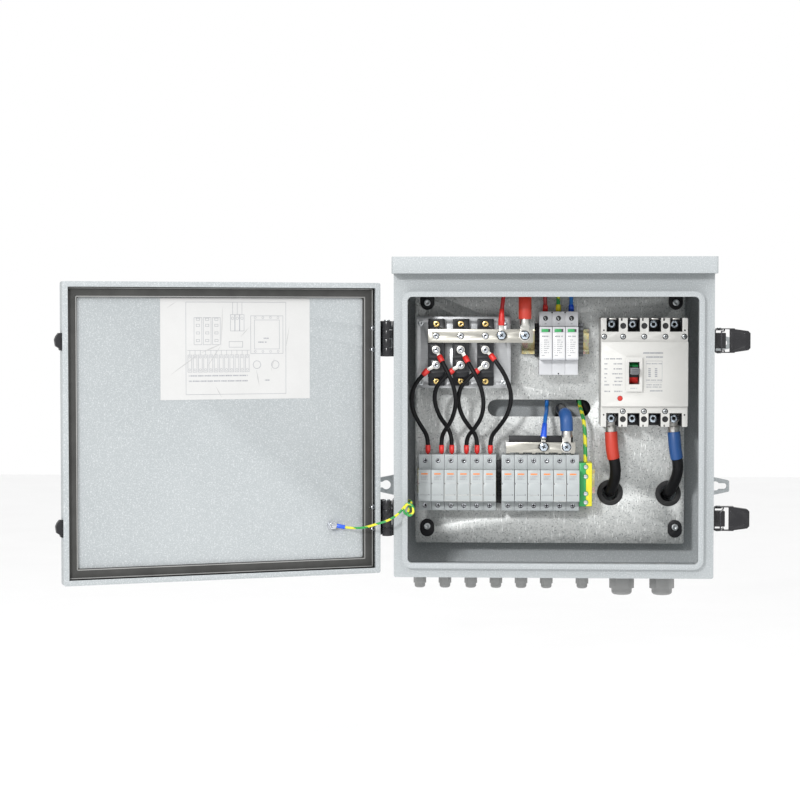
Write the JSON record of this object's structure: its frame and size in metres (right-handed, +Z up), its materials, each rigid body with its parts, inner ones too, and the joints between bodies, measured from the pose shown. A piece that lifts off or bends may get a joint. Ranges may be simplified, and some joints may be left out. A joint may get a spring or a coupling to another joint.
{
  "type": "dc combiner box",
  "caption": "Wall-mounted sheet-steel cabinet with rain hood, side-hinged door and draw latches, holding fuse holders, diodes, surge protector, breaker and busbars.",
  "frame": {"origin": "on the wall plane, at the centre of the four wall keyholes", "axes": "+X to the right, +Z up, the front faces -Y"},
  "size_m": [0.9069, 0.3487, 0.465],
  "materials": {
    "enclosure_paint": "fine texture powder coat",
    "zinc_steel": "zinc plated",
    "galvanised_plate": "galvanised, faint spangle",
    "black_plastic": "moulded, fine grain",
    "black_rubber": "satin",
    "black_paint": "gloss black",
    "sink_aluminium": "milled",
    "tinned_copper": "tin plated",
    "yellow_chromate": "yellow chromate, iridescent",
    "device_grey": "moulded",
    "breaker_white": "moulded",
    "handle_grey": "moulded",
    "button_red": "moulded",
    "gland_grey": "moulded nylon, satin",
    "black_cable": "satin sheath",
    "lead_insulation": "satin sheath: one red, one blue, one green with yellow",
    "red_sleeve": "heat-shrink, satin",
    "earth_green": "green with yellow",
    "gasket_foam": "closed-cell foam",
    "printed_paper": "printed sheet, matt",
    "bright_wire": "bright plated"
  },
  "bodies": {
    "enclosure": {"box_body": "enclosure_paint", "rain_hood": "enclosure_paint", "mounting_ears": "enclosure_paint", "plate_standoffs": "zinc_steel", "mounting_plate": "galvanised_plate", "plate_clamps": "black_plastic", "plate_screws": "zinc_steel", "cable_grommets": "black_rubber", "hinge_body_leaves": "black_paint", "pivot_pins": "zinc_steel", "side_screws": "zinc_steel", "latch_bases": "black_paint", "heat_sink": "sink_aluminium", "diode_modules": "black_plastic", "positive_busbar": "tinned_copper", "negative_busbar": "tinned_copper", "busbar_insulator": "black_plastic", "terminal_bolts": "zinc_steel", "din_rails": "yellow_chromate", "rail_end_stops": "black_plastic", "spd_base": "device_grey", "fuse_bases": "device_grey", "terminal_screws": "zinc_steel", "earth_terminals": "earth_green", "breaker_base": "breaker_white", "breaker_cover": "breaker_white", "cable_glands": "gland_grey", "string_wires": "black_cable", "power_cables": "black_cable", "spd_leads": "lead_insulation", "wire_terminations": "red_sleeve"},
    "door": {"door_panel": "enclosure_paint", "door_gasket": "gasket_foam", "hinge_door_leaves": "black_paint", "door_fasteners": "zinc_steel", "latch_keepers": "black_paint", "wiring_diagram": "printed_paper", "door_earth_wire": "earth_green"},
    "handle": {"breaker_handle": "handle_grey"},
    "trip": {"trip_button": "button_red"},
    "lever_upper": {"latch_lever_upper": "black_paint"},
    "lever_lower": {"latch_lever_lower": "black_paint"},
    "bail_upper": {"latch_bail_upper": "bright_wire"},
    "bail_lower": {"latch_bail_lower": "bright_wire"},
    "carrier_01": {"fuse_carrier_01": "device_grey"},
    "carrier_02": {"fuse_carrier_02": "device_grey"},
    "carrier_03": {"fuse_carrier_03": "device_grey"},
    "carrier_04": {"fuse_carrier_04": "device_grey"},
    "carrier_05": {"fuse_carrier_05": "device_grey"},
    "carrier_06": {"fuse_carrier_06": "device_grey"},
    "carrier_07": {"fuse_carrier_07": "device_grey"},
    "carrier_08": {"fuse_carrier_08": "device_grey"},
    "carrier_09": {"fuse_carrier_09": "device_grey"},
    "carrier_10": {"fuse_carrier_10": "device_grey"},
    "carrier_11": {"fuse_carrier_11": "device_grey"},
    "carrier_12": {"fuse_carrier_12": "device_grey"},
    "cartridge_1": {"spd_cartridge_1": "device_grey"},
    "cartridge_2": {"spd_cartridge_2": "device_grey"},
    "cartridge_3": {"spd_cartridge_3": "device_grey"}
  },
  "joints": [
    {"name": "door_hinge", "type": "hinge", "parent": "enclosure", "child": "door", "pos_m": [-0.224, -0.18, 0], "axis": [0, 0, 1], "range_deg": [-15, 157.5], "deforming": ["door_earth_wire"]},
    {"name": "latch_lever_upper", "type": "hinge", "parent": "enclosure", "child": "lever_upper", "pos_m": [0.2225, -0.162, 0.107], "axis": [0, 0, 1], "range_deg": [-35, 85]},
    {"name": "latch_bail_upper", "type": "hinge", "parent": "lever_upper", "child": "bail_upper", "pos_m": [0.2295, -0.162, 0.107], "axis": [0, 0, 1], "range_deg": [-79, 33]},
    {"name": "latch_lever_lower", "type": "hinge", "parent": "enclosure", "child": "lever_lower", "pos_m": [0.2225, -0.162, -0.133], "axis": [0, 0, 1], "range_deg": [-35, 85]},
    {"name": "latch_bail_lower", "type": "hinge", "parent": "lever_lower", "child": "bail_lower", "pos_m": [0.2295, -0.162, -0.133], "axis": [0, 0, 1], "range_deg": [-79, 33]},
    {"name": "breaker_toggle", "type": "hinge", "parent": "enclosure", "child": "handle", "pos_m": [0.112, -0.092, 0.0616], "axis": [1, 0, 0], "range_deg": [-13, 13]},
    {"name": "trip_press", "type": "slide", "parent": "enclosure", "child": "trip", "axis": [0, 1, 0], "range_m": [0, 0.002], "stiffness_N_per_m": 300, "springref_m": -0.0005},
    {"name": "fuse_carrier_01_tilt", "type": "hinge", "parent": "enclosure", "child": "carrier_01", "pos_m": [-0.176, -0.086, -0.113], "axis": [1, 0, 0], "range_deg": [0, 65]},
    {"name": "fuse_carrier_02_tilt", "type": "hinge", "parent": "enclosure", "child": "carrier_02", "pos_m": [-0.158, -0.086, -0.113], "axis": [1, 0, 0], "range_deg": [0, 65]},
    {"name": "fuse_carrier_03_tilt", "type": "hinge", "parent": "enclosure", "child": "carrier_03", "pos_m": [-0.14, -0.086, -0.113], "axis": [1, 0, 0], "range_deg": [0, 65]},
    {"name": "fuse_carrier_04_tilt", "type": "hinge", "parent": "enclosure", "child": "carrier_04", "pos_m": [-0.122, -0.086, -0.113], "axis": [1, 0, 0], "range_deg": [0, 65]},
    {"name": "fuse_carrier_05_tilt", "type": "hinge", "parent": "enclosure", "child": "carrier_05", "pos_m": [-0.104, -0.086, -0.113], "axis": [1, 0, 0], "range_deg": [0, 65]},
    {"name": "fuse_carrier_06_tilt", "type": "hinge", "parent": "enclosure", "child": "carrier_06", "pos_m": [-0.086, -0.086, -0.113], "axis": [1, 0, 0], "range_deg": [0, 65]},
    {"name": "fuse_carrier_07_tilt", "type": "hinge", "parent": "enclosure", "child": "carrier_07", "pos_m": [-0.0606, -0.086, -0.113], "axis": [1, 0, 0], "range_deg": [0, 65]},
    {"name": "fuse_carrier_08_tilt", "type": "hinge", "parent": "enclosure", "child": "carrier_08", "pos_m": [-0.0426, -0.086, -0.113], "axis": [1, 0, 0], "range_deg": [0, 65]},
    {"name": "fuse_carrier_09_tilt", "type": "hinge", "parent": "enclosure", "child": "carrier_09", "pos_m": [-0.0246, -0.086, -0.113], "axis": [1, 0, 0], "range_deg": [0, 65]},
    {"name": "fuse_carrier_10_tilt", "type": "hinge", "parent": "enclosure", "child": "carrier_10", "pos_m": [-0.0066, -0.086, -0.113], "axis": [1, 0, 0], "range_deg": [0, 65]},
    {"name": "fuse_carrier_11_tilt", "type": "hinge", "parent": "enclosure", "child": "carrier_11", "pos_m": [0.0114, -0.086, -0.113], "axis": [1, 0, 0], "range_deg": [0, 65]},
    {"name": "fuse_carrier_12_tilt", "type": "hinge", "parent": "enclosure", "child": "carrier_12", "pos_m": [0.0294, -0.086, -0.113], "axis": [1, 0, 0], "range_deg": [0, 65]},
    {"name": "spd_cartridge_1_slide", "type": "slide", "parent": "enclosure", "child": "cartridge_1", "axis": [0, -1, 0], "range_m": [0, 0.06]},
    {"name": "spd_cartridge_2_slide", "type": "slide", "parent": "enclosure", "child": "cartridge_2", "axis": [0, -1, 0], "range_m": [0, 0.06]},
    {"name": "spd_cartridge_3_slide", "type": "slide", "parent": "enclosure", "child": "cartridge_3", "axis": [0, -1, 0], "range_m": [0, 0.06]}
  ],
  "couplings": [
    {"joint": "latch_bail_upper", "follows": "latch_lever_upper", "ratio": -0.9224},
    {"joint": "latch_bail_lower", "follows": "latch_lever_lower", "ratio": -0.9224}
  ]
}
